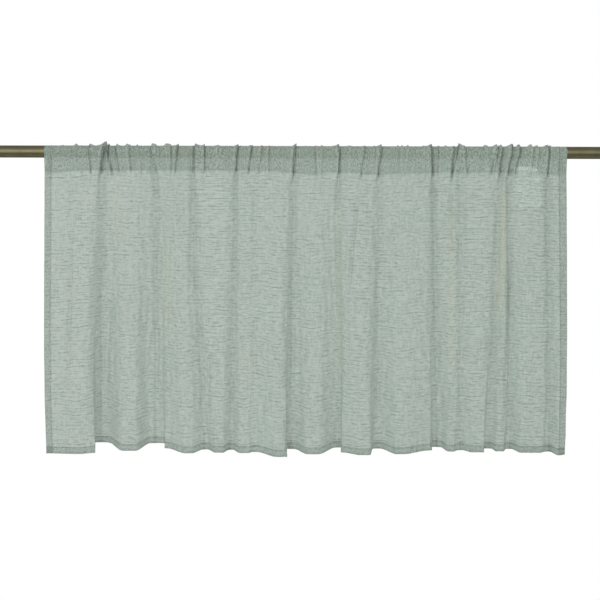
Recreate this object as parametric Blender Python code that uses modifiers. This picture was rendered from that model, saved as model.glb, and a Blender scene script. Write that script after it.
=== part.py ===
"""Cafe curtain with a rod pocket, hanging gathered on a plain round rod.

Metres, +Z up. The origin lies on the rod's axis at the curtain's middle. The side that faces the room
is -Y, and +X is to the right as seen from there. The cloth is one piece: it rises from its bottom hem,
passes over the rod and comes down behind it to the casing's seam, where its turned edge is sewn to the
panel.
"""

from collections import namedtuple
from math import cos, exp, pi, radians, sin

import bmesh
import bpy
from mathutils import Vector

MM = 0.001

# Rod
ROD_DIAMETER = 0.020
ROD_LENGTH = 1.040
ROD_SIDES = 48
ROD_END_BEVEL = 0.0008
SHARP_ANGLE = radians(40)

# Cloth, as it hangs
CURTAIN_WIDTH = 0.865
HEM_BOTTOM = -0.5055  # height of the frontmost fold's hem
HEM_RISE = 0.39  # how much higher the hem hangs for each metre that a fold lies further back
SIDE_HEM = 0.0116
BOTTOM_HEM = 0.0110
CLOTH_THICKNESS = 0.0012
HEM_THICKNESS = 0.0018
FOLD_MIDDLE = 0.018  # depth of the folds' mean plane behind the frontmost fold, which hangs under the rod
EDGE_DEPTH = 0.010
FOLD_OPENING = 0.7  # power of the level that the folds' depth follows, below 1 because they open near the top
COLUMN_SPACING = 0.0020  # least distance between two columns of the cloth's faces

# Casing, the pocket that the rod runs through
ROD_GAP = 0.0007
WRAP_START = radians(-18)  # where the cloth meets the rod's front, from level with its axis
WRAP_STEPS = 7
BACK_TUCK_SHARE = 0.6
TUCK_WIDTH = 4.0 * MM
CREASE_WIDTH = 5.0 * MM
TUCK_OFFSET = 4.0 * MM  # a ridge on the rod stands this far to the right of the fold that it feeds

# Care label, caught in the casing's seam and hanging behind the panel
LABEL_LEFT = 0.354  # station of its left edge on the cloth
LABEL_WIDTH = 0.038
LABEL_LENGTH = 0.056
LABEL_SLANT = 0.003  # how far its lower end lies to the right of its upper one
LABEL_DROP = 0.0015  # how far below the seam it comes out
LABEL_THICKNESS = 0.0010
LABEL_GAP = 0.0006
LABEL_COLUMNS = 12
LABEL_ROWS = 8

# Main folds from left to right, in millimetres. Each row is a recess and the crown to its right.
# seam, hem: place of the recess at the casing's seam and at the hem
# depth, floor: how far back its floor lies at the hem, and how wide the floor is
# left, right: width of the slope on each side
# lap: how far the left panel overlaps the recess, or the right one where it is negative
# step: share of the depth that the slope on the lapped side takes
# crown, crest: place of the next crown at the hem, and its depth
# tuck: height of the ridge that the cloth makes on the rod
Fold = namedtuple("Fold", "seam hem depth floor left right lap step crown crest tuck")
FOLDS = [
    Fold(-336, -344, 43, 17, 3, 30, 8, 0.9, -301, 18, 5.0),
    Fold(-249, -252, 41, 22, 22, 7, -5, 0.5, -200, 11, 3.0),
    Fold(-188, -168, 22, 8, 18, 14, 0, 1.0, -143, 13, 3.0),
    Fold(-117, -125, 21, 7, 10, 12, 0, 1.0, -103, 12, 2.0),
    Fold(-83, -85, 15, 7, 9, 34, 0, 1.0, -38, 1, 1.5),
    Fold(-19, -25, 24, 13, 3, 22, 8, 1.0, 11, 9, 3.0),
    Fold(54, 55, 29, 8, 30, 3, -6, 0.65, 91, 7, 2.5),
    Fold(122, 121, 26, 10, 11, 26, 4, 1.0, 162, 10, 2.5),
    Fold(212, 220, 31, 15, 3, 12, 6, 0.45, 245, 18, 3.5),
    Fold(255, 260, 22, 8, 9, 14, 0, 1.0, 289, 16, 2.5),
    Fold(322, 307, 27, 10, 6, 8, 4, 1.0, 326, 19, 2.5),
    Fold(337, 342, 26, 8, 7, 14, 0, 1.0, 372, 15, 3.0),
    Fold(401, 406, 18, 7, 12, 11, 0, 1.0, 424, 8, 2.0),
]
LEFT_CROWN = -377 * MM
LEFT_CREST = 8 * MM

# Ridges on the rod that feed no fold: place and height, in millimetres.
Tuck = namedtuple("Tuck", "place height")
TUCKS = [
    Tuck(-377, 2.5),
    Tuck(-318, 3.5),
    Tuck(-279, 2.0),
    Tuck(-218, 2.5),
    Tuck(-62, 2.0),
    Tuck(94, 2.0),
    Tuck(180, 2.0),
    Tuck(284, 2.0),
    Tuck(373, 2.5),
]

# The casing's seam along the curtain: place and height, in millimetres.
SEAM_LINE = [
    (-432, -37),
    (-365, -33),
    (-80, -33),
    (0, -38),
    (50, -35),
    (110, -39),
    (180, -37),
    (240, -35),
    (350, -35),
    (432, -38),
]

# The panel's rows: two along the bottom hem, and these levels between the hem's bottom, 1, and the seam, 0.
HEM_ROWS = 2
PANEL_LEVELS = [0.72, 0.45, 0.20]

CLOTH_COLOUR = (0.33, 0.40, 0.34, 1.0)
ROD_COLOUR = (0.27, 0.24, 0.15, 1.0)
LABEL_COLOUR = (0.70, 0.74, 0.70, 1.0)


def remove_scene_objects():
    for obj in list(bpy.data.objects):
        bpy.data.objects.remove(obj, do_unlink=True)


def material(name, colour, roughness, metallic=0.0):
    made = bpy.data.materials.new(name)
    made.use_nodes = True
    shader = made.node_tree.nodes["Principled BSDF"]
    shader.inputs["Base Color"].default_value = colour
    shader.inputs["Roughness"].default_value = roughness
    shader.inputs["Metallic"].default_value = metallic
    return made


def new_object(name, bm, look, collection):
    mesh = bpy.data.meshes.new(name)
    bm.to_mesh(mesh)
    bm.free()
    mesh.materials.append(look)
    obj = bpy.data.objects.new(name, mesh)
    collection.objects.link(obj)
    return obj


def eased(place, knots):
    """Value at place of the curve that levels off at each knot, a pair of place and value."""
    for (start, low), (end, high) in zip(knots, knots[1:]):
        if place <= end:
            part = min(max((place - start) / (end - start), 0.0), 1.0)
            return low + (high - low) * part * part * (3 - 2 * part)
    return knots[-1][1]


def bump(distance, width):
    return exp(-((distance / width) ** 2))


def scaled(pairs):
    return [(a * MM, b * MM) for a, b in pairs]


def hem_knots():
    """Knots of the hem's depth and of its sideways shift, both along the curtain."""
    edge = CURTAIN_WIDTH / 2
    depths = [(-edge, EDGE_DEPTH), (LEFT_CROWN, LEFT_CREST)]
    shifts = [(-edge, 0.0)]
    crest = LEFT_CREST
    for fold in FOLDS:
        depth, next_crest, lap = fold.depth * MM, fold.crest * MM, fold.lap * MM
        start, end = (fold.hem - fold.floor / 2) * MM, (fold.hem + fold.floor / 2) * MM
        left_lip, right_lip = start - fold.left * MM, end + fold.right * MM
        left_step = fold.step if lap > 0 else 1.0
        right_step = fold.step if lap < 0 else 1.0
        depths += [
            (left_lip, depth + (crest - depth) * left_step),
            (start, depth),
            (end, depth),
            (right_lip, depth + (next_crest - depth) * right_step),
            (fold.crown * MM, next_crest),
        ]
        if lap > 0:
            shifts += [(left_lip - 2 * lap, 0.0), (left_lip, lap / 2), (start, -lap / 2), (end, 0.0)]
        elif lap < 0:
            shifts += [(start, 0.0), (end, -lap / 2), (right_lip, lap / 2), (right_lip - 2 * lap, 0.0)]
        crest = next_crest
    return depths + [(edge, EDGE_DEPTH)], shifts + [(edge, 0.0)]


HEM_DEPTHS, HEM_SHIFTS = hem_knots()
SEAM_SHIFTS = (
    [(-CURTAIN_WIDTH / 2, 0.0)] + scaled((f.hem, f.seam - f.hem) for f in FOLDS) + [(CURTAIN_WIDTH / 2, 0.0)]
)
SEAM_HEIGHTS = scaled(SEAM_LINE)
RIDGES = [(f.hem * MM + TUCK_OFFSET, f.tuck * MM) for f in FOLDS] + scaled(TUCKS)


def stations():
    """Places along the hem where the cloth's columns lie, closest at the slopes and the ridges."""
    edge = CURTAIN_WIDTH / 2
    knots = [place for place, _ in HEM_DEPTHS]
    wanted = [-edge, -edge + SIDE_HEM, edge - SIDE_HEM, edge] + knots
    wanted += [(a + b) / 2 for a, b in zip(knots, knots[1:])]
    for place, _ in RIDGES:
        wanted += [place, place - TUCK_WIDTH, place + TUCK_WIDTH]
    kept = []
    for place in wanted:
        if all(abs(place - other) > COLUMN_SPACING for other in kept):
            kept.append(place)
    return sorted(kept)


def across(station, level):
    """Place along X of a station at a level from the seam, 0, to the hem, 1."""
    return station + (1 - level) * eased(station, SEAM_SHIFTS) + growth(level) * eased(station, HEM_SHIFTS)


def growth(level):
    """Share of the hem's folds that the panel has at a level."""
    return level**FOLD_OPENING


def crease_depth(station):
    """Depth of the creases at the seam, one under each main fold's tuck."""
    return sum(fold.tuck * MM * bump(station - fold.hem * MM, CREASE_WIDTH) for fold in FOLDS)


def ridge_height(station):
    return sum(height * bump(station - place, TUCK_WIDTH) for place, height in RIDGES)


def panel_point(station, level):
    depth = eased(station, HEM_DEPTHS)
    share = growth(level)
    y = (1 - share) * crease_depth(station) + share * (depth - FOLD_MIDDLE)
    seam = eased(station, SEAM_HEIGHTS)
    hem = HEM_BOTTOM + HEM_RISE * depth
    return Vector((across(station, level), y, seam + (hem - seam) * level))


def wrap_point(station, angle):
    """Point of the cloth on the rod. The angle is 0 at the front, level with the axis, and grows upwards."""
    tuck_share = 1 - (1 - BACK_TUCK_SHARE) * max(0.0, -cos(angle))
    reach = ROD_DIAMETER / 2 + ROD_GAP + CLOTH_THICKNESS / 2 + tuck_share * ridge_height(station)
    return Vector((across(station, 0.0), -reach * cos(angle), reach * sin(angle)))


def cloth_rows(station):
    """The cloth's points at a station, from the hem up, over the rod and down to the seam again."""
    seam = panel_point(station, 0.0)
    length = (panel_point(station, 1.0) - seam).length
    levels = [1.0, 1 - BOTTOM_HEM / length] + PANEL_LEVELS
    sweep = pi - 2 * WRAP_START
    wrap = [wrap_point(station, WRAP_START + sweep * step / WRAP_STEPS) for step in range(WRAP_STEPS + 1)]
    points = [panel_point(station, level) for level in levels]
    return points + [seam, (seam + wrap[0]) / 2] + wrap + [(seam + wrap[-1]) / 2, seam]


def grid_on(columns):
    """A grid of faces whose points are given column by column."""
    width, height = len(columns), len(columns[0])
    bm = bmesh.new()
    bmesh.ops.create_grid(bm, x_segments=width - 1, y_segments=height - 1, size=1.0)
    for index, vert in enumerate(bm.verts):
        row, column = divmod(index, width)
        vert.co = columns[column][row]
    return bm


def thicken(obj, thickness):
    solidify = obj.modifiers.new("Cloth", "SOLIDIFY")
    solidify.solidify_mode = "NON_MANIFOLD"
    solidify.nonmanifold_thickness_mode = "EVEN"
    solidify.thickness = thickness
    solidify.offset = 0.0
    return solidify


def make_panel(look, collection):
    """The curtain: its last row is sewn to the seam's row, and its hems are thicker than its single cloth."""
    places = stations()
    columns = [cloth_rows(station) for station in places]
    width, height = len(columns), len(columns[0])
    bm = grid_on(columns)
    seam_row = HEM_ROWS + len(PANEL_LEVELS)
    side = CURTAIN_WIDTH / 2 - SIDE_HEM - MM / 10
    weights = bm.verts.layers.deform.verify()
    sewn = []
    for index, vert in enumerate(bm.verts):
        row, column = divmod(index, width)
        if row < HEM_ROWS or (row < seam_row and abs(places[column]) > side):
            vert[weights][0] = 1.0
        if row in (seam_row, height - 1):
            sewn.append(vert)
    bmesh.ops.remove_doubles(bm, verts=sewn, dist=MM / 100)
    obj = new_object("curtain_panel", bm, look, collection)
    solidify = thicken(obj, HEM_THICKNESS)
    solidify.vertex_group = obj.vertex_groups.new(name="Hem").name
    solidify.thickness_vertex_group = CLOTH_THICKNESS / HEM_THICKNESS
    return obj


def make_label(look, collection):
    """The care label, a strip that follows the back of the panel below the seam."""
    columns = []
    for column in range(LABEL_COLUMNS + 1):
        points = []
        for row in range(LABEL_ROWS + 1):
            down = row / LABEL_ROWS
            station = LABEL_LEFT + LABEL_WIDTH * column / LABEL_COLUMNS + LABEL_SLANT * down
            length = (panel_point(station, 1.0) - panel_point(station, 0.0)).length
            point = panel_point(station, (LABEL_DROP + LABEL_LENGTH * down) / length)
            point.y += CLOTH_THICKNESS / 2 + LABEL_GAP + LABEL_THICKNESS / 2
            points.append(point)
        columns.append(points)
    obj = new_object("care_label", grid_on(columns), look, collection)
    thicken(obj, LABEL_THICKNESS)
    return obj


def make_rod(look, collection):
    bm = bmesh.new()
    radius = ROD_DIAMETER / 2
    bmesh.ops.create_cone(
        bm, cap_ends=True, segments=ROD_SIDES, radius1=radius, radius2=radius, depth=ROD_LENGTH
    )
    obj = new_object("curtain_rod", bm, look, collection)
    obj.rotation_euler = (0.0, radians(90), 0.0)
    bevel = obj.modifiers.new("Rounded ends", "BEVEL")
    bevel.width = ROD_END_BEVEL
    bevel.segments = 1
    bevel.limit_method = "ANGLE"
    obj.data.shade_smooth()
    obj.data.set_sharp_from_angle(angle=SHARP_ANGLE)
    return obj


def main():
    remove_scene_objects()
    collection = bpy.data.collections.new("cafe_curtain")
    bpy.context.scene.collection.children.link(collection)
    make_panel(material("Sheer cloth", CLOTH_COLOUR, 0.9), collection)
    make_label(material("Label satin", LABEL_COLOUR, 0.6), collection)
    make_rod(material("Antique brass", ROD_COLOUR, 0.35, 1.0), collection)


main()
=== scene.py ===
"""Looks of the cafe curtain: a sheer slub-weave cloth that hangs gathered on an antique brass rod.

Metres, in the frame of the solids. The origin lies on the rod's axis at the curtain's middle. The room
is on the -Y side, and +X is to the right as seen from there.
"""

from collections import namedtuple
from math import pi, radians

import bpy
import numpy as np
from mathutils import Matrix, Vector


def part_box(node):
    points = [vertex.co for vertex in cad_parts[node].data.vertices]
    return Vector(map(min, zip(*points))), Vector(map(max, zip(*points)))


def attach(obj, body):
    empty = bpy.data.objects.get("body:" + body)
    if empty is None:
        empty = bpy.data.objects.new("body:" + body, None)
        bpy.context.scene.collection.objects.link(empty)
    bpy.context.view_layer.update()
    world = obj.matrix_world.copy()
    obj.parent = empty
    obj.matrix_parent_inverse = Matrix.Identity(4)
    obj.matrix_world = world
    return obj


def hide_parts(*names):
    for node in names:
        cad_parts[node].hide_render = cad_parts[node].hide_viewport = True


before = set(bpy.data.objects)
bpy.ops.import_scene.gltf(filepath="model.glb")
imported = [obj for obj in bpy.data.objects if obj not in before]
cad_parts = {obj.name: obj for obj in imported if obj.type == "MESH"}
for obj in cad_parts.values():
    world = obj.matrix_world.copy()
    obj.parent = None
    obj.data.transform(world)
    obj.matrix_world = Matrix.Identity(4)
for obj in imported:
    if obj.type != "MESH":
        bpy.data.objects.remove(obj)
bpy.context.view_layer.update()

MM = 0.001
TINY = 1e-9  # keeps a division off 0
ROD_LOW, ROD_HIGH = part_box("curtain_rod")
ROD_RADIUS = (ROD_HIGH.z - ROD_LOW.z) / 2
PANEL_LOW, PANEL_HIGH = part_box("curtain_panel")

# Camera. The photograph is square, and its camera is level with the middle of its frame.
PHOTO_SIDE = 600
PIXEL = 0.00166  # what one pixel of the photograph spans at the rod
ORIGIN_PIXEL = (305.3, 152.2)  # where the photograph has the origin
CAMERA_DISTANCE = 1.5
CAMERA_ROLL = radians(-0.14)
SENSOR_WIDTH = 36.0

# Light. The sky behind the curtain is a white wall, and the room in front of it is dimmer.
WALL_LIGHT = 1.0
ROOM_LIGHT = 0.60
MIRRORED_LIGHT = (0.08, 0.32)  # what gloss mirrors of the surroundings, low down and high up
SIDE_BLEND = 0.2  # of a direction's Y to each side of 0, where the room gives way to the wall
HEIGHT_BLEND = 0.6  # of a direction's Z to each side of 0, where the mirrored light grows
KEY_PLACE = Vector((-0.35, -2.2, 0.05))
KEY_SIZE = (3.4, 1.15)
KEY_STRENGTH = 0.56  # light that falls on the curtain's front, as a share of a white sky's
FLOOR_HEIGHT = -1.9
FLOOR_RADIUS = 1.2
FLOOR_SIDES = 96
FLOOR_COLOUR = (0.75, 0.75, 0.75, 1.0)
FLOOR_ROUGHNESS = 0.9
WHITE = (1.0, 1.0, 1.0, 1.0)

# Cloth, as it hangs
CURTAIN_WIDTH = 0.865
EDGE = CURTAIN_WIDTH / 2
HEM_BOTTOM = -0.5041  # height of the frontmost fold's hem
HEM_RISE = 0.424  # how much higher the hem hangs for each metre that a fold lies further back
SIDE_HEM = 0.0109
BOTTOM_HEM = 0.0116
HEM_LAYER_GAP = 0.00035  # how far behind the cloth its turned hem lies
FOLD_MIDDLE = 0.018  # depth behind the frontmost fold of the plane that hangs right under the rod
EDGE_DEPTH = 0.010  # depth of the side edges
FOLD_OPENING = 0.7  # power of the level that the folds' depth grows with: they open near the top
CURTAIN_MIDDLE = 0.0005
PLUMB_SHIFT = 0.0011  # how much further to the right the hem hangs than the seam
WIDTH_SHARES = [  # level from the seam, 0, to the hem, 1, and the share of the width there
    (0.0, 1.0015),
    (0.55, 1.001),
    (0.75, 0.999),
    (0.9, 0.9945),
    (1.0, 0.991),
]
WRAP_SHARE = 0.9952  # the curtain's width on the rod
DEPTH_SHARE = 0.8  # of the folds' depth in the solid
FOLD_SOFTNESS = 9.0 * MM  # how far the folds' edges are rounded off at the seam
SOFT_POINTS = 1200  # along the rounded curve
EDGE_SHARPNESS = 5.0  # power of the level that the edges grow sharp with
LAP_GROWTH = 7.0  # power of the level that the laps grow with

# Casing, the pocket that the rod runs through
TUCK_SINK = 0.0004  # how much of the tucks' height is lost where the cloth is drawn tight on the rod
FRONT_GAP = 0.0028  # how much further the cloth stands off the rod's front than its top
FRONT_GAP_POWER = 3
LEAST_GAP = 0.0002  # between the cloth and the rod
WRAP_START = radians(-18)  # where the cloth meets the rod's front, from level with its axis
BACK_TUCK_SHARE = 0.6  # of the tucks' height that is left at the rod's back
CREASE_WIDTH = 5.6 * MM  # of the crease at the seam under each main fold
CREASE_SHARE = 1.4  # of the depth in the table
CREASE_FADE = 0.35  # share of a crease that is gone at the hem
SEAM_GAP = 0.0009  # between the panel and the casing's turned edge at the seam

# Main folds from left to right, in millimetres. Each row is a recess and the crown to its right.
# seam, hem: place of the recess at the casing's seam and at the hem
# depth, floor: how far back its floor lies at the hem, and how wide the floor is
# left, right: width of the slope on each side
# lap: how far the left panel overlaps the recess, or the right one where it is negative
# step: share of the depth that the slope on the lapped side takes
# crown, crest: place of the next crown at the hem, and its depth
# crease: depth of the crease at the seam
Fold = namedtuple("Fold", "seam hem depth floor left right lap step crown crest crease")
FOLDS = [
    Fold(-336, -344, 43, 17, 3, 30, 8, 0.9, -301, 18, 3.0),
    Fold(-249, -252, 41, 22, 22, 7, -5, 0.5, -200, 11, 3.0),
    Fold(-188, -168, 22, 8, 18, 14, 0, 1.0, -143, 13, 3.0),
    Fold(-117, -125, 21, 7, 10, 12, 0, 1.0, -103, 12, 3.5),
    Fold(-83, -85, 15, 7, 9, 34, 0, 1.0, -38, 1, 1.5),
    Fold(-19, -25, 24, 13, 3, 22, 8, 1.0, 11, 9, 3.0),
    Fold(54, 55, 29, 8, 30, 3, -6, 0.65, 91, 7, 2.5),
    Fold(122, 121, 26, 10, 11, 26, 4, 1.0, 162, 10, 2.5),
    Fold(212, 220, 31, 15, 3, 12, 6, 0.45, 245, 18, 3.5),
    Fold(255, 260, 22, 8, 9, 14, 0, 1.0, 289, 16, 2.5),
    Fold(322, 307, 27, 10, 6, 8, 4, 1.0, 326, 19, 2.5),
    Fold(337, 342, 26, 8, 7, 14, 0, 1.0, 372, 15, 3.0),
    Fold(401, 406, 18, 7, 12, 11, 0, 1.0, 424, 8, 3.5),
]
LEFT_CROWN = -377 * MM
LEFT_CREST = 8 * MM

# The casing's seam along the curtain: place and height, in millimetres.
SEAM_LINE = [
    (-432, -34.5),
    (-365, -30.5),
    (-80, -30.5),
    (0, -35.5),
    (50, -32.5),
    (110, -36.5),
    (180, -34.5),
    (240, -32.5),
    (350, -32.5),
    (432, -35.5),
]
PANEL_LENGTH = SEAM_LINE[0][1] * MM - HEM_BOTTOM

# Tucks that the gathered cloth makes in the casing, in millimetres: a dark line of painted shade with a
# ridge beside it, and a painted highlight on a high ridge's crest.
# top, seam: place of the line on the rod's top and at the seam
# height, width: how far the ridge stands off the rod, and its half width
# reach: how far below the seam it fades out
# lean: how far the ridge leans over the line from its left, or from its right where it is negative
# groove: how deep the line is pressed in
# A row without a lean is a ridge alone, and its line is the ridge's crest.
Tuck = namedtuple("Tuck", "top seam height width reach lean groove", defaults=(0.0, 0.0))
TUCKS = [
    Tuck(-405, -405, 0.8, 3.0, 5),
    Tuck(-380, -380, 2.6, 2.4, 5),
    Tuck(-356, -356, 2.8, 2.6, 7, -4.0, 3.0),
    Tuck(-332, -340, 5.4, 3.4, 11, 6.0, 5.0),
    Tuck(-327, -323, 3.6, 2.6, 7, 4.5, 4.5),
    Tuck(-313, -310, 2.2, 2.6, 7, -3.6, 3.0),
    Tuck(-297, -295, 2.0, 3.0, 5),
    Tuck(-289, -289, 1.2, 3.0, 5, 2.0, 1.5),
    Tuck(-280, -275, 2.4, 2.2, 6),
    Tuck(-254, -248, 3.0, 3.2, 10, -4.0, 2.0),
    Tuck(-230, -229, 2.8, 4.2, 5),
    Tuck(-223, -223, 0.8, 2.4, 5, 2.4, 1.0),
    Tuck(-212, -216, 1.8, 2.6, 6, 4.0, 3.2),
    Tuck(-182, -185, 3.0, 2.8, 7, -4.6, 4.2),
    Tuck(-168, -168, 2.4, 2.6, 5, 3.6, 2.4),
    Tuck(-147, -147, 2.2, 4.0, 5),
    Tuck(-112, -116, 2.4, 2.8, 7, 4.6, 4.0),
    Tuck(-89, -95, 1.6, 2.6, 7, 4.2, 3.6),
    Tuck(-72, -78, 1.4, 2.2, 5, 3.2, 2.2),
    Tuck(-60, -61, 2.0, 2.2, 5, 2.8, 1.2),
    Tuck(-17, -21, 3.0, 3.0, 8, 5.6, 5.0),
    Tuck(0, 0, 0.7, 3.0, 5),
    Tuck(16, 18, 1.2, 2.2, 5, -3.2, 2.0),
    Tuck(27, 25, 1.4, 2.2, 5),
    Tuck(54, 55, 2.8, 3.0, 8, 5.0, 4.0),
    Tuck(72, 72, 1.5, 5.0, 5),
    Tuck(98, 92, 1.2, 2.4, 8, 4.0, 3.2),
    Tuck(124, 120, 2.2, 3.0, 8, 5.2, 4.6),
    Tuck(159, 160, 1.8, 2.2, 5),
    Tuck(169, 163, 1.8, 1.8, 5),
    Tuck(195, 197, 1.8, 2.6, 5),
    Tuck(207, 210, 3.0, 3.2, 8, 5.6, 5.0),
    Tuck(219, 219, 1.2, 2.0, 5, -2.4, 1.2),
    Tuck(232, 232, 1.6, 2.6, 5),
    Tuck(245, 242, 2.0, 2.8, 10, 5.0, 4.4),
    Tuck(252, 245, 1.8, 2.4, 8, -3.6, 4.0),
    Tuck(262, 268, 1.4, 2.6, 7, 4.2, 3.2),
    Tuck(298, 300, 2.2, 4.0, 5),
    Tuck(315, 307, 2.4, 2.4, 5, 3.8, 2.4),
    Tuck(324, 322, 2.6, 2.6, 8, 5.6, 5.0),
    Tuck(340, 336, 3.4, 3.4, 8, 6.6, 6.0),
    Tuck(353, 349, 2.8, 2.6, 7, 4.2, 5.2),
    Tuck(372, 370, 2.6, 4.0, 5),
    Tuck(383, 384, 2.0, 2.2, 5, 3.0, 1.4),
    Tuck(399, 402, 2.4, 2.8, 7, 5.2, 4.2),
    Tuck(404, 405, 1.6, 2.2, 5),
    Tuck(418, 417, 1.0, 2.4, 5),
]
CREST_AWAY = 1.4  # distance of a ridge's crest from its line, in half widths
HEIGHT_SHARE = 1.45  # of the ridges' height in the table
SEAM_TUCK_SHARE = 0.7  # of a tuck that is left at the seam
TUCK_END = 1.3  # where a tuck stops slanting, 0 on the rod's top and 1 at the seam
GROOVE_WIDTH = 1.6 * MM
GROOVE_SPREAD = 0.6  # how much wider a line is at the seam
GROOVE_SHARE = 1.5  # of the grooves' depth in the table
DARK_GROOVE = 6.5  # depth of a groove whose line of painted shade is as dark as can be, in millimetres
LINE_SHARE = 0.6  # width of the line of painted shade in a groove
CREST_HIGHLIGHT = 0.6  # how light the painted highlight on a high ridge's crest is
CREST_HIGHLIGHT_WIDTH = 0.9 * MM
CREST_HIGHLIGHT_HEIGHT = 1.0  # of the lowest ridge that has a painted highlight on its crest, in millimetres

# Soft creases in the panel besides the main folds, in millimetres below the rod's axis and along X.
# start, end: height of their ends
# top, foot: place at each end
# depth, width: how far back they are pressed, and their half width
# lean: how far they lean over sideways
Crease = namedtuple("Crease", "start end top foot depth width lean")
CREASES = [
    Crease(38, 420, -388, -394, 2.0, 4.0, 2.0),
    Crease(200, 500, -320, -336, 2.0, 3.5, -2.5),
    Crease(38, 260, -190, -193, 2.0, 3.0, 2.0),
    Crease(300, 500, -158, -158, 2.2, 3.5, -2.5),
    Crease(38, 260, 88, 68, 2.0, 3.0, 2.0),
    Crease(38, 190, 240, 240, 2.0, 3.0, 2.5),
    Crease(38, 190, 267, 266, 2.0, 3.0, -2.5),
    Crease(150, 500, 341, 328, 2.2, 3.0, 2.5),
]
CREASE_ENDS = 4  # a crease fades in over the first one of this many parts, and out over the last

# Soft dark lines of painted shade along the panel's folds and creases, and at the hems' edges
FOLD_SHADE = 0.09  # for each millimetre of a crease's depth
FOLD_LINE = 3.4 * MM
FOLD_START = 20  # the lines start below the seam, over the first one of this many parts of the panel
HEM_SHADE = 0.38
HEM_LINE = 0.9 * MM

# Warmer bands in the cloth's colour, in millimetres below the rod's axis and along X.
# start, end: height of their ends
# top, foot: place at each end
# width: half width
# strength: share of the warm colour
Band = namedtuple("Band", "start end top foot width strength")
BANDS = [
    Band(-10, 10, -206, -206, 16.0, 0.20),
    Band(-10, 10, -80, -80, 14.0, 0.16),
    Band(-10, 10, 24, 24, 10.0, 0.16),
    Band(-10, 10, 150, 150, 18.0, 0.15),
    Band(-10, 10, 375, 375, 14.0, 0.15),
    Band(36, 300, 330, 322, 7.0, 0.34),
    Band(60, 400, 59, 55, 7.0, 0.17),
    Band(60, 400, 241, 240, 7.0, 0.18),
    Band(130, 320, -231, -225, 6.0, 0.20),
    Band(45, 160, -316, -313, 6.0, 0.16),
    Band(200, 420, -96, -100, 6.0, 0.12),
]
BAND_ENDS = 5  # a band fades in over the first one of this many parts, and out over the last

# How far a tuck's middle bows out sideways, by a seeded draw
BOW_SEED = 3
BOW_MOST = 1.3 * MM

# Fine wrinkles between the tucks, placed by a seeded draw
WRINKLE_SEED = 11
WRINKLE_COUNT = 230
WRINKLE_HEIGHT = (0.2 * MM, 0.9 * MM)
WRINKLE_WIDTH = (0.9 * MM, 1.9 * MM)
WRINKLE_REACH = (3 * MM, 14 * MM)
WRINKLE_SLANT = 3  # millimetres between a wrinkle's places on the rod's top and at the seam, at most

# Low waves all over the panel, by a seeded draw
RIPPLE_SEED = 5
RIPPLE_COUNT = 14
RIPPLE_HEIGHT = 0.35 * MM
RIPPLES_ACROSS = (25, 110)  # waves for each metre of width
RIPPLES_DOWN = (-14, 14)  # waves for each metre of height

# The cloth's grid
COLUMNS = 980
TURNED_COLUMNS = 4
PANEL_ROWS = 40
SHARP_ANGLE = radians(80)  # between faces that meet in a pressed edge
ROW_GRADING = 1.5  # power that sets the panel's rows closer near the seam
HEM_ROW_GAP = 0.002  # part of the panel between the hem's sewn edge and the row above it
PANEL_ROW_GAP = 0.006  # least part of the panel between the hem's sewn edge and the other rows
FLAT_ROWS = 8  # between the seam and the rod, on each side of the casing
WRAP_ROWS = 26
FINE_COLUMNS = 6000  # that the columns are chosen from

# How close and how gathered the threads look
MOST_CLOSENESS = 1.2  # of the threads on a steep fold, beside those on flat cloth
HEM_THINNING = 0.41  # how much opener each layer looks where the cloth is pressed flat in a hem
CASING_THINNING = 0.26  # the same where it is drawn tight over the rod
HEM_GATHER = 0.25  # how much of the casing's grain the hems show
GATHER_FADE = 0.006  # how far above the seam the cloth is gathered in full

# Stitches
STITCH_PITCH = 0.0032
STITCH_LENGTH = 0.0024
STITCH_RADIUS = 0.00016
STITCH_INSET = 0.0016  # how far the stitches lie inside a hem's turned edge
STITCH_SIDES = 5
STITCH_BODY = 0.3  # where a stitch starts to taper, from its middle, as a share of its length
STITCH_POINTS = 3000  # along each line of stitches across the curtain

# Label
LABEL_LEFT = 0.3505
LABEL_WIDTH = 0.0415
LABEL_BELOW = 0.0575
LABEL_ABOVE = 0.0090  # how much of it is caught between the casing's layers
LABEL_SLANT = 0.003  # how much further to the right its lower end lies
LABEL_GAP = 0.0005  # behind the panel
LABEL_LEAN = 0.3  # how far it comes forward inside the casing, for each unit of height
LABEL_CORNER = 0.008
LABEL_COLUMNS = 20
LABEL_ROWS = 36


def eased(places, knots):
    """Values at places of the curve that levels off at each knot, a pair of place and value."""
    at = np.array([place for place, _ in knots])
    values = np.array([value for _, value in knots])
    index = np.clip(np.searchsorted(at, places, side="right") - 1, 0, len(at) - 2)
    part = smooth((places - at[index]) / (at[index + 1] - at[index]))
    return values[index] + (values[index + 1] - values[index]) * part


def smooth(part):
    """A soft step from 0 to 1."""
    part = np.clip(part, 0.0, 1.0)
    return part * part * (3 - 2 * part)


def bump(distance, width):
    """A soft hump, 1 at no distance."""
    return np.exp(-((distance / width) ** 2))


def ends_faded(down, parts):
    """1 along the middle and 0 from each end on. The ends are one of so many parts."""
    return smooth(down * parts) * smooth((1 - down) * parts)


def scaled(pairs):
    """Pairs of millimetres in metres."""
    return [(a * MM, b * MM) for a, b in pairs]


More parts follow.
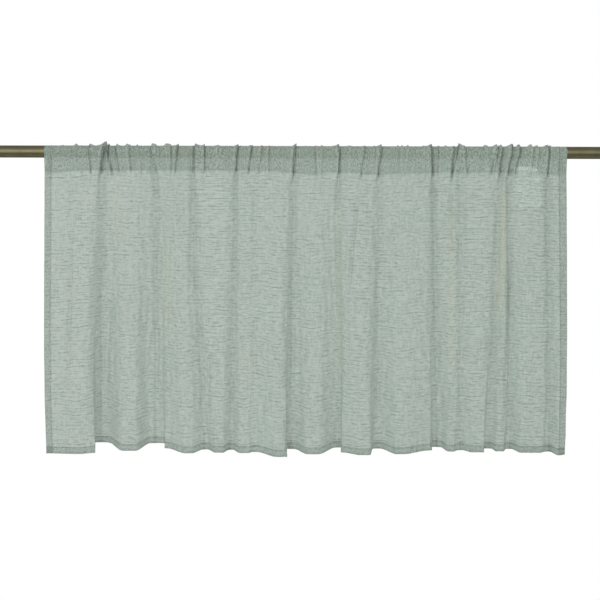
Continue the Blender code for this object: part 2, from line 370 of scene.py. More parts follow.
def hem_knots():
    """Knots of the hem's depth and of its sideways shift, both along the curtain."""
    depths = [(-EDGE, EDGE_DEPTH), (LEFT_CROWN, LEFT_CREST)]
    shifts = [(-EDGE, 0.0)]
    crest = LEFT_CREST
    for fold in FOLDS:
        depth, next_crest, lap = fold.depth * MM, fold.crest * MM, fold.lap * MM
        start, end = (fold.hem - fold.floor / 2) * MM, (fold.hem + fold.floor / 2) * MM
        left_lip, right_lip = start - fold.left * MM, end + fold.right * MM
        left_step = fold.step if lap > 0 else 1.0
        right_step = fold.step if lap < 0 else 1.0
        depths += [
            (left_lip, depth + (crest - depth) * left_step),
            (start, depth),
            (end, depth),
            (right_lip, depth + (next_crest - depth) * right_step),
            (fold.crown * MM, next_crest),
        ]
        if lap > 0:
            shifts += [(left_lip - 2 * lap, 0.0), (left_lip, lap / 2), (start, -lap / 2), (end, 0.0)]
        elif lap < 0:
            shifts += [(start, 0.0), (end, -lap / 2), (right_lip, lap / 2)]
            shifts += [(right_lip - 2 * lap, 0.0)]
        crest = next_crest
    return depths + [(EDGE, EDGE_DEPTH)], shifts + [(EDGE, 0.0)]


HEM_DEPTHS, HEM_SHIFTS = hem_knots()
SEAM_SHIFTS = [
    (-EDGE, 0.0),
    *scaled((fold.hem, fold.seam - fold.hem) for fold in FOLDS),
    (EDGE, 0.0),
]
SEAM_HEIGHTS = scaled(SEAM_LINE)


def softened(knots):
    """Places and values of a curve through the knots with its edges rounded off."""
    places = np.linspace(-EDGE, EDGE, SOFT_POINTS)
    step = places[1] - places[0]
    reach = int(3 * FOLD_SOFTNESS / step)
    kernel = bump(np.arange(-reach, reach + 1) * step, FOLD_SOFTNESS)
    padded = np.pad(eased(places, knots), reach, mode="edge")
    return places, np.convolve(padded, kernel / kernel.sum(), mode="valid")


SOFT_DEPTHS = softened(HEM_DEPTHS)


def fold_depth(station, level):
    """Depth of the folds behind the frontmost one, as it is at the hem."""
    soft = np.interp(station, *SOFT_DEPTHS)
    return soft + (eased(station, HEM_DEPTHS) - soft) * level**EDGE_SHARPNESS


def across(station, level):
    """Place along X of a station on the cloth at a level."""
    shift = (1 - level) * eased(station, SEAM_SHIFTS) + level**LAP_GROWTH * eased(station, HEM_SHIFTS)
    middle = CURTAIN_MIDDLE + PLUMB_SHIFT * (level - 0.5)
    return middle + eased(level + 0 * station, WIDTH_SHARES) * (station + shift)


def crease_depth(station):
    """Depth of the creases at the seam, one under each main fold's tuck."""
    return sum(
        CREASE_SHARE * fold.crease * MM * bump(station - fold.hem * MM, CREASE_WIDTH)
        for fold in FOLDS
    )


def fine_wrinkles():
    """Small tucks at random places, whose draw is seeded."""
    draw = np.random.default_rng(WRINKLE_SEED)
    furthest = (EDGE - SIDE_HEM) / MM
    made = []
    for _ in range(WRINKLE_COUNT):
        place = draw.uniform(-furthest, furthest)
        width = draw.uniform(*WRINKLE_WIDTH) / MM
        lean = draw.uniform(-width, width)
        height = draw.choice([-1, 1]) * draw.uniform(*WRINKLE_HEIGHT) / MM
        reach = draw.uniform(*WRINKLE_REACH) / MM
        seam = place + draw.uniform(-WRINKLE_SLANT, WRINKLE_SLANT)
        made.append(Tuck(place, seam, height, width, reach, lean))
    return made


ALL_TUCKS = TUCKS + fine_wrinkles()
BOWS = np.random.default_rng(BOW_SEED).uniform(-BOW_MOST, BOW_MOST, len(ALL_TUCKS))


def tucked(x, drop):
    """Sideways shift, height and painted shading of the tucks at place x and a drop below the rod's
    axis.

    The shade is painted shade, up to 1 in a line where the cloth lies folded on itself, and painted
    highlight, below 0 on a ridge's crest.
    """
    seam_drop = -eased(x, SEAM_HEIGHTS)
    down = np.clip((drop + ROD_RADIUS) / (seam_drop + ROD_RADIUS), 0.0, TUCK_END)
    gather = 1 - (1 - SEAM_TUCK_SHARE) * smooth(down)
    below = np.maximum(drop - seam_drop, 0.0)
    shift, height, shade = (np.zeros(x.shape) for _ in range(3))
    for tuck, bow in zip(ALL_TUCKS, BOWS):
        line = (tuck.top + (tuck.seam - tuck.top) * down) * MM + bow * np.sin(pi * down)
        side = np.sign(tuck.lean) if tuck.groove else 0.0
        crest = line - side * CREST_AWAY * tuck.width * MM
        faded = gather * np.exp(-below / (tuck.reach * MM))
        ridge = faded * bump(x - crest, tuck.width * MM)
        shift += tuck.lean * MM * ridge
        height += HEIGHT_SHARE * tuck.height * MM * ridge
        # Painted highlight along a high ridge's crest
        if abs(tuck.height) > CREST_HIGHLIGHT_HEIGHT:
            shade -= CREST_HIGHLIGHT * faded * bump(x - crest, CREST_HIGHLIGHT_WIDTH)
        if tuck.groove:
            width = GROOVE_WIDTH * (1 + GROOVE_SPREAD * down)
            height -= GROOVE_SHARE * tuck.groove * MM * faded * bump(x - line, width)
            # Painted shade along the groove's line
            darkness = min(1.0, tuck.groove / DARK_GROOVE)
            shade += darkness * faded * bump(x - line, LINE_SHARE * width)
    return shift, height, shade


def followed_strip(strip, drop):
    """How far down a crease or a band the drops lie, from 0 to 1, and its place along X there."""
    start, end = strip.start * MM, strip.end * MM
    down = (drop - start) / (end - start)
    return down, (strip.top + (strip.foot - strip.top) * down) * MM


def creased(x, drop):
    """Sideways shift and depth of the panel's soft creases."""
    shift, depth = np.zeros(x.shape), np.zeros(x.shape)
    for crease in CREASES:
        down, place = followed_strip(crease, drop)
        share = bump(x - place, crease.width * MM) * ends_faded(down, CREASE_ENDS)
        shift += crease.lean * MM * share
        depth += crease.depth * MM * share
    return shift, depth


def rippled(station, drop):
    """Low uneven waves all over the panel, whose draw is seeded."""
    draw = np.random.default_rng(RIPPLE_SEED)
    total = np.zeros(np.broadcast(station, drop).shape)
    for _ in range(RIPPLE_COUNT):
        waves_across, waves_down = draw.uniform(*RIPPLES_ACROSS), draw.uniform(*RIPPLES_DOWN)
        phase = 2 * pi * (waves_across * station + waves_down * drop)
        total = total + np.sin(phase + draw.uniform(0, 2 * pi))
    return RIPPLE_HEIGHT * total / RIPPLE_COUNT**0.5


def panel_points(station, level):
    """Points of the panel, one row for each level from the seam, 0, to the hem, 1."""
    depth = fold_depth(station, level)
    share = level**FOLD_OPENING
    seam = eased(station, SEAM_HEIGHTS)
    hem = HEM_BOTTOM + HEM_RISE * depth
    x = across(station, level)
    creases = (1 - CREASE_FADE * share) * crease_depth(station)
    y = creases + share * DEPTH_SHARE * (depth - FOLD_MIDDLE)
    z = seam + (hem - seam) * level + 0 * station
    tuck_shift, tuck_height, _ = tucked(x, -z)
    crease_shift, crease_back = creased(x, -z)
    x = x + tuck_shift + crease_shift
    y = y - tuck_height + crease_back + rippled(station, -z)
    return np.stack([x, y, z], axis=-1)


def wrap_points(station, angle):
    """Points of the cloth on the rod. The angle is 0 level with the axis in front, and grows upwards."""
    x = WRAP_SHARE * across(station, 0.0 * angle)
    tuck_shift, tuck_height, _ = tucked(x, -ROD_RADIUS * np.sin(angle) + 0 * x)
    ahead, back = np.maximum(0.0, np.cos(angle)), np.maximum(0.0, -np.cos(angle))
    tuck_height = tuck_height * (1 - (1 - BACK_TUCK_SHARE) * back)
    off = FRONT_GAP * ahead**FRONT_GAP_POWER + tuck_height - TUCK_SINK
    reach = ROD_RADIUS + np.maximum(off, LEAST_GAP)
    return np.stack([x + tuck_shift, -reach * np.cos(angle), reach * np.sin(angle)], axis=-1)


def between(first, last, parts):
    """Rows of points from one row to another. Only the parts of the way that are given are made."""
    parts = parts[:, None, None]
    return first[None] * (1 - parts) + last[None] * parts


def cloth_rows(station):
    """Rows of the whole cloth, from the hem's bottom up, over the rod and down to the seam again.

    With each row comes the direction to the cloth's back, where a turned hem lies.
    """
    levels = np.linspace(1.0, 0.0, PANEL_ROWS + 1) ** ROW_GRADING
    hem_level = 1 - BOTTOM_HEM / PANEL_LENGTH
    hem_levels = [hem_level - HEM_ROW_GAP, hem_level, (1 + hem_level) / 2, 1.0]
    levels = np.sort(np.append(levels[levels < hem_level - PANEL_ROW_GAP], hem_levels))[::-1]
    panel = panel_points(station[None], levels[:, None])
    angles = np.linspace(WRAP_START, pi - WRAP_START, WRAP_ROWS + 1)
    wrap = wrap_points(station[None], angles[:, None])
    seam = panel[-1]
    back_seam = seam + np.array([0.0, SEAM_GAP, 0.0])
    parts = np.linspace(0.0, 1.0, FLAT_ROWS + 1)
    front = between(seam, wrap[0], parts[1:-1])
    back = between(wrap[-1], back_seam, parts[1:])
    rows = np.concatenate([panel, front, wrap, back])
    inward = np.zeros((len(rows), 3))
    inward[: -len(back), 1] = 1.0
    inward[-len(back) :, 1] = -1.0
    wrapped = slice(len(panel) + len(front), len(rows) - len(back))
    inward[wrapped, 1] = np.cos(angles)
    inward[wrapped, 2] = -np.sin(angles)
    return rows, inward


def lengths(points):
    """Distance along a line of points from its first one."""
    steps = np.linalg.norm(np.diff(points, axis=0), axis=1)
    return np.concatenate([[0.0], np.cumsum(steps)])


def stations():
    """Places of the cloth's columns, closest where the folds and the tucks are steep."""
    fine = np.linspace(-EDGE, EDGE, FINE_COLUMNS)
    hem = lengths(panel_points(fine[None], np.array([[1.0]]))[0])
    top = lengths(wrap_points(fine[None], np.array([[0.0]]))[0])
    walked = hem / hem[-1] + top / top[-1]
    kept = np.interp(np.linspace(0.0, walked[-1], COLUMNS - 2), walked, fine)
    sewn = EDGE - SIDE_HEM
    return np.sort(np.append(kept, [-sewn, sewn]))


def sheet_mesh(name, points, flat):
    """A mesh of a grid of points, with the cloth's flat coordinates in metres as its map."""
    height, width = points.shape[:2]
    index = np.arange(height * width).reshape(height, width)
    corners = [index[:-1, :-1], index[:-1, 1:], index[1:, 1:], index[1:, :-1]]
    faces = np.stack([corner.ravel() for corner in corners], axis=1)
    mesh = bpy.data.meshes.new(name)
    mesh.from_pydata(points.reshape(-1, 3), [], faces.tolist())
    mesh.shade_smooth()
    mesh.set_sharp_from_angle(angle=SHARP_ANGLE)
    layer = mesh.uv_layers.new(name="Flat")
    layer.data.foreach_set("uv", flat.reshape(-1, 2)[faces.ravel()].ravel().astype(np.float32))
    return mesh


def add_object(name, mesh, look):
    """A new object in the scene, of a mesh and its material."""
    mesh.materials.append(look)
    obj = bpy.data.objects.new(name, mesh)
    bpy.context.scene.collection.objects.link(obj)
    return obj


def cloth_grid():
    """The cloth's points with its side and bottom hems turned to the back, and its flat coordinates."""
    places = stations()
    rows, inward = cloth_rows(places)
    column_flat = lengths(rows[0])
    middle = len(places) // 2
    row_flat = lengths(rows[:, middle])

    turned = np.linspace(0.0, 1.0, TURNED_COLUMNS + 1)[1:] * SIDE_HEM
    behind = HEM_LAYER_GAP * smooth(turned / turned[0])
    left = cloth_rows(-EDGE + turned[::-1])[0]
    left = left + inward[:, None] * behind[::-1, None]
    right = cloth_rows(EDGE - turned)[0]
    right = right + inward[:, None] * behind[:, None]
    points = np.concatenate([left, rows, right], axis=1)
    column_flat = np.concatenate([-turned[::-1], column_flat, column_flat[-1] + turned])

    hem_rows = int(np.argmin(abs(row_flat - BOTTOM_HEM)))
    bottom = points[hem_rows:0:-1] + np.array([0.0, 2 * HEM_LAYER_GAP, 0.0])
    points = np.concatenate([bottom, points])
    row_flat = np.concatenate([-row_flat[hem_rows:0:-1], row_flat])
    flat = np.stack(np.broadcast_arrays(column_flat[None], row_flat[:, None]), axis=-1)
    return points, flat


def folded_closeness(points):
    """How much closer the threads seem to lie than on flat cloth, from the slope of the folds."""
    along = np.gradient(points, axis=1)
    length = np.linalg.norm(along, axis=2)
    facing = abs(along[..., 0]) / np.maximum(length, TINY)
    return 1 / np.maximum(facing, 1 / MOST_CLOSENESS)


def gathered(points):
    """How much the cloth is gathered: 1 in the casing, and 0 in the panel."""
    drop = -points[..., 2]
    seam_drop = -eased(points[..., 0], SEAM_HEIGHTS)
    return smooth((seam_drop - drop) / GATHER_FADE)


def inside(flat):
    """How far inside the nearer side edge and the bottom edge the points lie on the flat cloth."""
    width = flat[0, -1, 0] + flat[0, 0, 0]
    return np.minimum(flat[..., 0], width - flat[..., 0]), flat[..., 1]


def hemmed(flat):
    """1 where the cloth lies in a turned hem, else 0."""
    side, up = inside(flat)
    return 1.0 * ((side < SIDE_HEM) | (up < BOTTOM_HEM))


def hem_shade(flat):
    """How dark the painted shade is at a hem's pressed edge and at its sewn edge."""
    side, up = inside(flat)
    edges = bump(side, HEM_LINE) + bump(side - SIDE_HEM, HEM_LINE)
    edges = np.maximum(edges, bump(up, HEM_LINE) + bump(up - BOTTOM_HEM, HEM_LINE))
    return HEM_SHADE * edges


def fold_shade(points):
    """How dark the soft lines of painted shade are that the panel's folds and creases draw."""
    x, drop = points[..., 0], -points[..., 2]
    seam_drop = -eased(x, SEAM_HEIGHTS)
    level = np.clip((drop - seam_drop) / PANEL_LENGTH, 0.0, 1.0)
    total = np.zeros(x.shape)
    for fold in FOLDS:
        place = (fold.seam + (fold.hem - fold.seam) * level) * MM
        total += FOLD_SHADE * fold.crease * bump(x - place, FOLD_LINE)
    for crease in CREASES:
        down, place = followed_strip(crease, drop)
        line = bump(x - place, FOLD_LINE) * ends_faded(down, CREASE_ENDS)
        total += FOLD_SHADE * crease.depth * line
    return total * smooth(level * FOLD_START)


def warmed(points):
    """How strongly the warmer bands in the cloth's colour show."""
    x, drop = points[..., 0], -points[..., 2]
    total = np.zeros(x.shape)
    for band in BANDS:
        down, place = followed_strip(band, drop)
        total += band.strength * bump(x - place, band.width * MM) * ends_faded(down, BAND_ENDS)
    return total


def set_attribute(mesh, name, values):
    """Stores one number for each point of a mesh, which its material reads by name."""
    layer = mesh.attributes.new(name, "FLOAT", "POINT")
    layer.data.foreach_set("value", values.ravel().astype(np.float32))


def make_cloth(look):
    """The curtain's one piece of cloth, and the flat size that it was cut to."""
    points, flat = cloth_grid()
    mesh = sheet_mesh("curtain_cloth", points, flat)
    hem, gather = hemmed(flat), gathered(points)
    thinning = np.maximum(HEM_THINNING * hem, CASING_THINNING * gather)
    set_attribute(mesh, "closeness", folded_closeness(points) * (1 - thinning))
    set_attribute(mesh, "gather", np.maximum(gather, HEM_GATHER * hem))
    # Painted shade in the lines of the tucks, the folds and the hems, and painted highlight on the
    # tucks' crests
    tuck_shade = tucked(points[..., 0], -points[..., 2])[2]
    set_attribute(mesh, "shade", tuck_shade + fold_shade(points) + hem_shade(flat))
    set_attribute(mesh, "warmth", warmed(points))
    obj = add_object("curtain_cloth", mesh, look)
    size = flat[-1, -1] - flat[0, 0]
    return obj, (float(size[0]), float(size[1]))


def followed(rows, walked, places):
    """Rows of three numbers that belong to distances along a line, read at other places on it."""
    return np.stack([np.interp(places, walked, rows[:, k]) for k in range(3)], axis=1)


def stitch_places(line, inward):
    """The stitches' middles along a line, with its direction and the one to the cloth's back there."""
    walked = lengths(line)
    middles = np.arange(STITCH_PITCH / 2, walked[-1], STITCH_PITCH)
    points = followed(line, walked, middles)
    ahead = followed(line, walked, middles + STITCH_PITCH / 4)
    return points, ahead - points, followed(inward, walked, middles)


def stitch_lines():
    """Lines that the stitches follow, at the side hems, the bottom hem and the casing's seam.

    With each point comes the direction to the cloth's back.
    """
    fine = np.linspace(-EDGE, EDGE, STITCH_POINTS)
    side = SIDE_HEM - STITCH_INSET
    made = []
    for place in (-EDGE + side, EDGE - side):
        rows, inward = cloth_rows(np.array([place]))
        made.append((rows[:, 0], inward))
    hem_level = 1 - (BOTTOM_HEM - STITCH_INSET) / PANEL_LENGTH
    seam_level = STITCH_INSET / PANEL_LENGTH / 2
    for level in (hem_level, seam_level):
        line = panel_points(fine[None], np.array([[level]]))[0]
        made.append((line, np.broadcast_to([0.0, 1.0, 0.0], line.shape)))
    return made


def make_stitches(look):
    """Every stitch as one small pointed grain, in front of the cloth and behind it, all in one mesh."""
    sides = STITCH_SIDES
    turn = np.linspace(0, 2 * pi, sides, endpoint=False)
    ring = np.stack([np.cos(turn), np.sin(turn)], axis=1) * STITCH_RADIUS
    verts, faces = [], []
    for line, inward in stitch_lines():
        for point, step, normal in zip(*stitch_places(line, inward)):
            forward = step / np.linalg.norm(step)
            normal = normal / max(np.linalg.norm(normal), TINY)
            side = np.cross(forward, normal)
            for offset in (-STITCH_RADIUS, SEAM_GAP + STITCH_RADIUS):
                centre = point + normal * offset
                base = len(verts)
                for share in (-STITCH_BODY, STITCH_BODY):
                    end = centre + forward * share * STITCH_LENGTH
                    verts += [end + side * a + normal * b for a, b in ring]
                verts.append(centre - forward * STITCH_LENGTH / 2)
                verts.append(centre + forward * STITCH_LENGTH / 2)
                for k in range(sides):
                    other = (k + 1) % sides
                    faces.append((base + k, base + other, base + sides + other, base + sides + k))
                    faces.append((base + other, base + k, base + 2 * sides))
                    faces.append((base + sides + k, base + sides + other, base + 2 * sides + 1))
    mesh = bpy.data.meshes.new("hem_stitches")
    mesh.from_pydata(verts, [], faces)
    mesh.shade_smooth()
    return add_object("hem_stitches", mesh, look)


def make_label(look):
    """The care label: a blank satin ribbon with rounded corners that follows the back of the panel."""
    across_parts = np.linspace(0.0, 1.0, LABEL_COLUMNS + 1)
    total = LABEL_ABOVE + LABEL_BELOW
    down_parts = np.linspace(0.0, 1.0, LABEL_ROWS + 1)
    points = np.zeros((LABEL_ROWS + 1, LABEL_COLUMNS + 1, 3))
    for row, down in enumerate(down_parts):
        end = min(down, 1 - down) * total
        inset = 0.0
        if end < LABEL_CORNER:
            inset = LABEL_CORNER - (LABEL_CORNER**2 - (LABEL_CORNER - end) ** 2) ** 0.5
        left = LABEL_LEFT + inset + LABEL_SLANT * down
        station = left + (LABEL_WIDTH - 2 * inset) * across_parts
        drop = down * total - LABEL_ABOVE
        level = np.array([[max(drop, 0.0) / PANEL_LENGTH]])
        line = panel_points(station[None], level)[0]
        line[:, 1] += LABEL_GAP
        if drop < 0:
            line[:, 1] += drop * LABEL_LEAN
            line[:, 2] -= drop
        points[row] = line
    flat = np.broadcast_arrays(across_parts * LABEL_WIDTH, -down_parts[:, None] * total)
    flat = np.stack(flat, axis=-1)
    obj = add_object("label_ribbon", sheet_mesh("label_ribbon", points, flat), look)
    return obj, (LABEL_WIDTH, total)


class Graph:
    """The nodes of a material or of the world, made and joined by short calls.

    A Mix node has its two numbers in inputs 2 and 3, and its two colours in inputs 6 and 7.
    """

    def __init__(self, owner):
        self.owner = owner
        self.tree = owner.node_tree
        self.shader = self.tree.nodes.get("Principled BSDF")

    def node(self, kind, *inputs, **settings):
        made = self.tree.nodes.new(kind)
        for key, value in settings.items():
            setattr(made, key, value)
        for slot, value in enumerate(inputs):
            self.feed(made.inputs[slot], value)
        return made

    def feed(self, socket, value):
        if isinstance(value, bpy.types.NodeSocket):
            self.tree.links.new(value, socket)
        elif value is not None:
            socket.default_value = value

    def math(self, operation, *values):
        return self.node("ShaderNodeMath", *values, operation=operation).outputs[0]

    def add(self, a, b):
        return self.math("ADD", a, b)

    def times(self, a, b):
        return self.math("MULTIPLY", a, b)

    def total(self, first, *others):
        for value in others:
            first = self.add(first, value)
        return first

    def swing(self, noise, width):
        """A noise as a number that swings round 0, over a range of the width at most."""
        return self.times(self.add(noise, -0.5), width)

    def point(self, x, y):
        return self.node("ShaderNodeCombineXYZ", x, y).outputs[0]

    def attribute(self, name):
        return self.node("ShaderNodeAttribute", attribute_name=name).outputs["Fac"]

    def flat_place(self):
        """Place on the flat cloth, as a point and as its two numbers."""
        flat = self.node("ShaderNodeUVMap", uv_map="Flat").outputs[0]
        parts = self.node("ShaderNodeSeparateXYZ", flat).outputs
        return flat, parts[0], parts[1]

    def noise(self, vector, scale, detail=1.0, dimensions="2D"):
        made = self.node("ShaderNodeTexNoise", noise_dimensions=dimensions)
        self.feed(made.inputs["Vector"], vector)
        made.inputs["Scale"].default_value = scale
        made.inputs["Detail"].default_value = detail
        return made.outputs["Fac"]

    def ranged(self, value, low, high, to_low=0.0, to_high=1.0):
        """A soft step from to_low, where the value is low, to to_high, where it is high."""
        settings = {"interpolation_type": "SMOOTHSTEP"}
        made = self.node("ShaderNodeMapRange", value, low, high, to_low, to_high, **settings)
        return made.outputs[0]

    def choice(self, factor, first, second):
        """The first number where factor is 0, and the second where it is 1."""
        made = self.node("ShaderNodeMix", factor)
        self.feed(made.inputs[2], first)
        self.feed(made.inputs[3], second)
        return made.outputs[0]

    def blend(self, factor, first, second):
        """The first colour where factor is 0, and the second where it is 1."""
        made = self.node("ShaderNodeMix", data_type="RGBA")
        self.feed(made.inputs["Factor"], factor)
        self.feed(made.inputs[6], first)
        self.feed(made.inputs[7], second)
        return made.outputs[2]

    def bump(self, height, distance, strength):
        """Relief on the shader, where a height of 1 stands for the distance."""
        made = self.node("ShaderNodeBump")
        made.inputs["Strength"].default_value = strength
        made.inputs["Distance"].default_value = distance
        self.feed(made.inputs["Height"], height)
        self.feed(self.shader.inputs["Normal"], made.outputs[0])
        return made.outputs[0]

    def through(self, share, colour, normal):
        """Lets a share of the light through the surface as a soft glow."""
        glow = self.node("ShaderNodeBsdfTranslucent", colour, normal).outputs[0]
        return self.node("ShaderNodeMixShader", share, self.shader.outputs[0], glow).outputs[0]

    def finish(self, surface, alpha=None):
        """Gives the material its surface, which is clear where alpha is 0."""
        if alpha is not None:
            clear = self.node("ShaderNodeBsdfTransparent").outputs[0]
            surface = self.node("ShaderNodeMixShader", alpha, clear, surface).outputs[0]
        self.feed(self.tree.nodes["Material Output"].inputs["Surface"], surface)

    def set(self, **values):
        """Sets or feeds the shader's sockets by name, with _ for a space."""
        for name, value in values.items():
            self.feed(self.shader.inputs[name.replace("_", " ")], value)


def new_material(name):
    """An empty material with its nodes on."""
    made = bpy.data.materials.new(name)
    made.use_nodes = True
    return made


# The cloth's colours
CLOTH_DARK = (0.257, 0.324, 0.274, 1.0)
CLOTH_LIGHT = (0.436, 0.513, 0.449, 1.0)
CLOTH_COOL = (0.310, 0.435, 0.400, 1.0)
CLOTH_WARM = (0.410, 0.430, 0.280, 1.0)
CLOTH_PAINTED_SHADE = (0.035, 0.055, 0.040, 1.0)  # painted shade, in the dark lines
CLOTH_PAINTED_HIGHLIGHT = (0.500, 0.600, 0.520, 1.0)  # painted highlight, on the ridges' crests
TONE_REACH = 0.4  # of the tone to each side of 0, where the colour is fully dark or light
LINE_TONE = 2.0  # how much darker the thick threads are
# How far the colour goes toward the painted shade and toward the painted highlight, at most
MOST_PAINTED_SHADE = 0.88
MOST_PAINTED_HIGHLIGHT = 0.5
FULL_PAINTED_HIGHLIGHT = -0.6  # the painted shading at which a crest's painted highlight is full
PATCH_SCALE = 17.0  # of the cooler patches in the dye
PATCH_RANGE = (0.45, 0.65)  # of the noise where they start and are full
PATCH_SHARE = 0.12

# How the cloth takes light
CLOTH_COVER = 0.825  # share of the cloth's area that its threads cover
COVER_SLOPE = 0.036  # how much closer the cloth is at its right, for each metre
LEAST_OPEN = 0.02  # share of the area that is open where the threads lie closest
CLOTH_GLOW = 0.10  # share of the light that the threads pass on rather than send back
CLOTH_ROUGHNESS = 0.85
CLOTH_GLOSS = 0.2
SHEEN = 0.3
SHEEN_ROUGHNESS = 0.4
CLOTH_RELIEF = (0.25 * MM, 0.35)  # height and strength of the weave's bump
FINE_HEIGHT = 0.5  # of a fine thread, beside a thick one

# Thick threads of three kinds
# pitch: from one to the next
# length: over which a thread comes and goes
# narrowness: power that makes it thin within its pitch
# weight: how much it closes the cloth
# start: where along the noise it begins, so that the kinds differ
Thick = namedtuple("Thick", "pitch length narrowness weight start")
THICK_THREADS = [
    Thick(6.0 * MM, 12 * MM, 14.0, 0.125, 0.0),
    Thick(4.1 * MM, 9 * MM, 8.0, 0.10, 0.5),
    Thick(2.7 * MM, 6 * MM, 4.0, 0.065, 0.9),
]
THICK_RANGE = (0.42, 0.60)  # of the noise where a thread starts to be thick and where it is thickest
LINE_DIP = 0.06  # how much opener the cloth is between thick threads

# Fine threads and unevenness. Scales are for each metre.
THREAD_PITCH = 1.15 * MM
WEFT_LENGTH = 8 * MM
WARP_LENGTH = 14 * MM
THREAD_STEP = 3.7  # from one thread to the next in the noise that they are read from
FLECK = 0.15
CLOUD_SCALE = 9.0
CLOUD = 0.03
WAVE_SCALE = 26.0  # of the weft's slow waves
WAVE = 6 * MM
QUICK_WAVE_SCALE = 75.0
QUICK_WAVE = 1.6 * MM
SPREAD_SCALES = (12.0, 75.0)  # along and over the weft
SPREAD = 5 * MM  # how unevenly the weft threads are spread
GRAIN_SCALES = (620.0, 230.0)  # of the gathered cloth's grain, along and over the weft
GRAIN_MIDDLE = 0.54
GRAIN_STRENGTH = 5.0

# Sewing thread
TWIST_SCALE = 900.0
SEWING_ROUGHNESS = 0.6

# Label's satin
LABEL_DARK = (0.78, 0.80, 0.78, 1.0)
LABEL_PALE = (0.90, 0.91, 0.90, 1.0)
LABEL_ROUGHNESS = 0.45
LABEL_RIB = 0.5 * MM
LABEL_RIB_LENGTH = 4 * MM
LABEL_RELIEF = (0.1 * MM, 0.3)
LABEL_GLOW = 0.30  # share of the light that it passes on rather than sends back
LABEL_LIGHT = (0.05, 0.92)  # what it gives off on the window side, and on the side against the cloth

# Rod's brass
BRASS_DARK = (0.215, 0.198, 0.114, 1.0)
BRASS_LIGHT = (0.330, 0.308, 0.180, 1.0)
BRASS_ROUGHNESS = (0.44, 0.56)
BRASS_RELIEF = (0.05 * MM, 0.25)
MARK_SCALE = 2200.0
MARK_STRETCH = (0.04, 1.0, 1.0)  # the marks are long along the rod
MARK_RANGE = (0.2, 0.8)  # of the noise that the roughness follows
MOTTLE_SCALE = 60.0


def thread_rows(graph, along, over, pitch, length):
    """Uneven threads: a noise that runs along each thread and is unlike from one thread to the next.

    It gives the noise and how far into the thread the point lies, 1 at its middle and 0 at its sides.
    """
    counted = graph.math("DIVIDE", over, pitch)
    number = graph.math("FLOOR", counted)
    part = graph.math("FRACT", counted)
    place = graph.point(graph.math("DIVIDE", along, length), graph.times(number, THREAD_STEP))
    middle = graph.math("SINE", graph.times(part, pi))
    return graph.noise(place, 1.0), middle


def thick_lines(graph, along, over, kind):
    """Thin lines of thick thread that come and go, with slightly opener cloth between them."""
    shifted = graph.add(along, kind.start)
    tone, middle = thread_rows(graph, shifted, over, kind.pitch, kind.length)
    line = graph.add(graph.math("POWER", middle, kind.narrowness), -LINE_DIP)
    return graph.times(graph.ranged(tone, *THICK_RANGE), line)


def stretched_noise(graph, u, v, scales, detail=1.0):
    """A noise with one scale along the weft and another over it."""
    return graph.noise(graph.point(graph.times(u, scales[0]), graph.times(v, scales[1])), 1.0, detail)


def cloth_material():
    """Sheer slub weave: thick and thin weft threads, finer warp threads and the gaps between them."""
    graph = Graph(new_material("Sheer slub cloth"))
    flat, u, straight = graph.flat_place()
    wander = graph.total(
        graph.swing(graph.noise(flat, WAVE_SCALE), WAVE),
        graph.swing(graph.noise(flat, QUICK_WAVE_SCALE), QUICK_WAVE),
        graph.swing(stretched_noise(graph, u, straight, SPREAD_SCALES), SPREAD),
    )
    v = graph.add(straight, wander)

    thick = [thick_lines(graph, u, v, kind) for kind in THICK_THREADS]
    lines = graph.total(*[graph.times(line, kind.weight) for line, kind in zip(thick, THICK_THREADS)])
    weft, weft_middle = thread_rows(graph, u, v, THREAD_PITCH, WEFT_LENGTH)
    warp, warp_middle = thread_rows(graph, v, u, THREAD_PITCH, WARP_LENGTH)
    fleck = graph.add(graph.swing(weft, FLECK), graph.swing(warp, FLECK))
    cloud = graph.swing(graph.noise(flat, CLOUD_SCALE, detail=2.0), CLOUD)

    cover = graph.total(lines, fleck, cloud, CLOTH_COVER, graph.times(u, COVER_SLOPE))
    open_share = graph.math("MAXIMUM", graph.math("SUBTRACT", 1.0, cover), LEAST_OPEN)
    closeness = graph.attribute("closeness")
    alpha = graph.math("SUBTRACT", 1.0, graph.math("POWER", open_share, closeness))

    grain = graph.add(stretched_noise(graph, u, v, GRAIN_SCALES, detail=2.0), -GRAIN_MIDDLE)
    grain = graph.times(graph.times(grain, GRAIN_STRENGTH), graph.attribute("gather"))
    tone = graph.total(fleck, grain, graph.times(lines, LINE_TONE))
    colour = graph.blend(graph.ranged(tone, -TONE_REACH, TONE_REACH), CLOTH_LIGHT, CLOTH_DARK)
    colour = graph.blend(graph.attribute("warmth"), colour, CLOTH_WARM)
    patch = graph.noise(flat, PATCH_SCALE, detail=2.0)
    patch = graph.ranged(patch, *PATCH_RANGE, 0.0, PATCH_SHARE)
    colour = graph.blend(patch, colour, CLOTH_COOL)
    # Painted shade darkens the tucks' lines, the folds and the hems' edges, and painted highlight
    # lightens the ridges' crests
    shade = graph.attribute("shade")
    colour = graph.blend(graph.ranged(shade, 0.0, 1.0, 0.0, MOST_PAINTED_SHADE), colour, CLOTH_PAINTED_SHADE)
    colour = graph.blend(graph.ranged(shade, 0.0, FULL_PAINTED_HIGHLIGHT, 0.0, MOST_PAINTED_HIGHLIGHT), colour, CLOTH_PAINTED_HIGHLIGHT)

    graph.set(Base_Color=colour, Roughness=CLOTH_ROUGHNESS, Specular_IOR_Level=CLOTH_GLOSS)
    graph.set(Sheen_Weight=SHEEN, Sheen_Roughness=SHEEN_ROUGHNESS)
    fine = graph.add(graph.times(weft_middle, FINE_HEIGHT), graph.times(warp_middle, FINE_HEIGHT))
    normal = graph.bump(graph.add(fine, thick[0]), *CLOTH_RELIEF)
    graph.finish(graph.through(CLOTH_GLOW, colour, normal), alpha)
    return graph.owner


